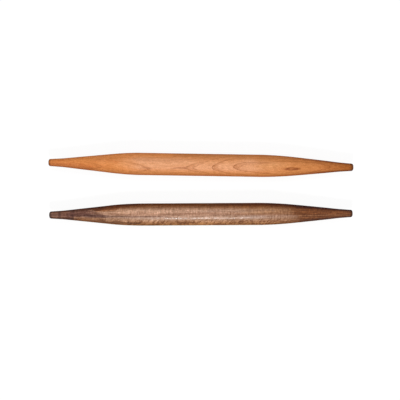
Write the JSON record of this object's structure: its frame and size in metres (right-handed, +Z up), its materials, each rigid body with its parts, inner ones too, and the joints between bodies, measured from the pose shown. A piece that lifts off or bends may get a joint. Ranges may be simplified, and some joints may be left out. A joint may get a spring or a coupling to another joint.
{
  "type": "rolling pin",
  "caption": "Tapered one-piece French rolling pins in cherry and in walnut, each a straight barrel with long tapers to blunt rounded ends.",
  "frame": {"origin": "on the worktop, midway between the middles of the two pins", "axes": "+X along the pins, to the right in the picture; +Y towards the cherry pin; +Z up from the worktop"},
  "size_m": [0.5208, 0.1244, 0.038],
  "materials": {
    "cherry_wood": "satin",
    "walnut_wood": "satin"
  },
  "bodies": {
    "cherry_pin_body": {"cherry_pin": "cherry_wood"},
    "walnut_pin_body": {"walnut_pin": "walnut_wood"}
  },
  "joints": [
    {"name": "walnut_pin_roll_away", "type": "slide", "parent": "cherry_pin_body", "child": "walnut_pin_body", "axis": [0, -1, 0], "range_m": [-0.0437, 0.18]}
  ]
}
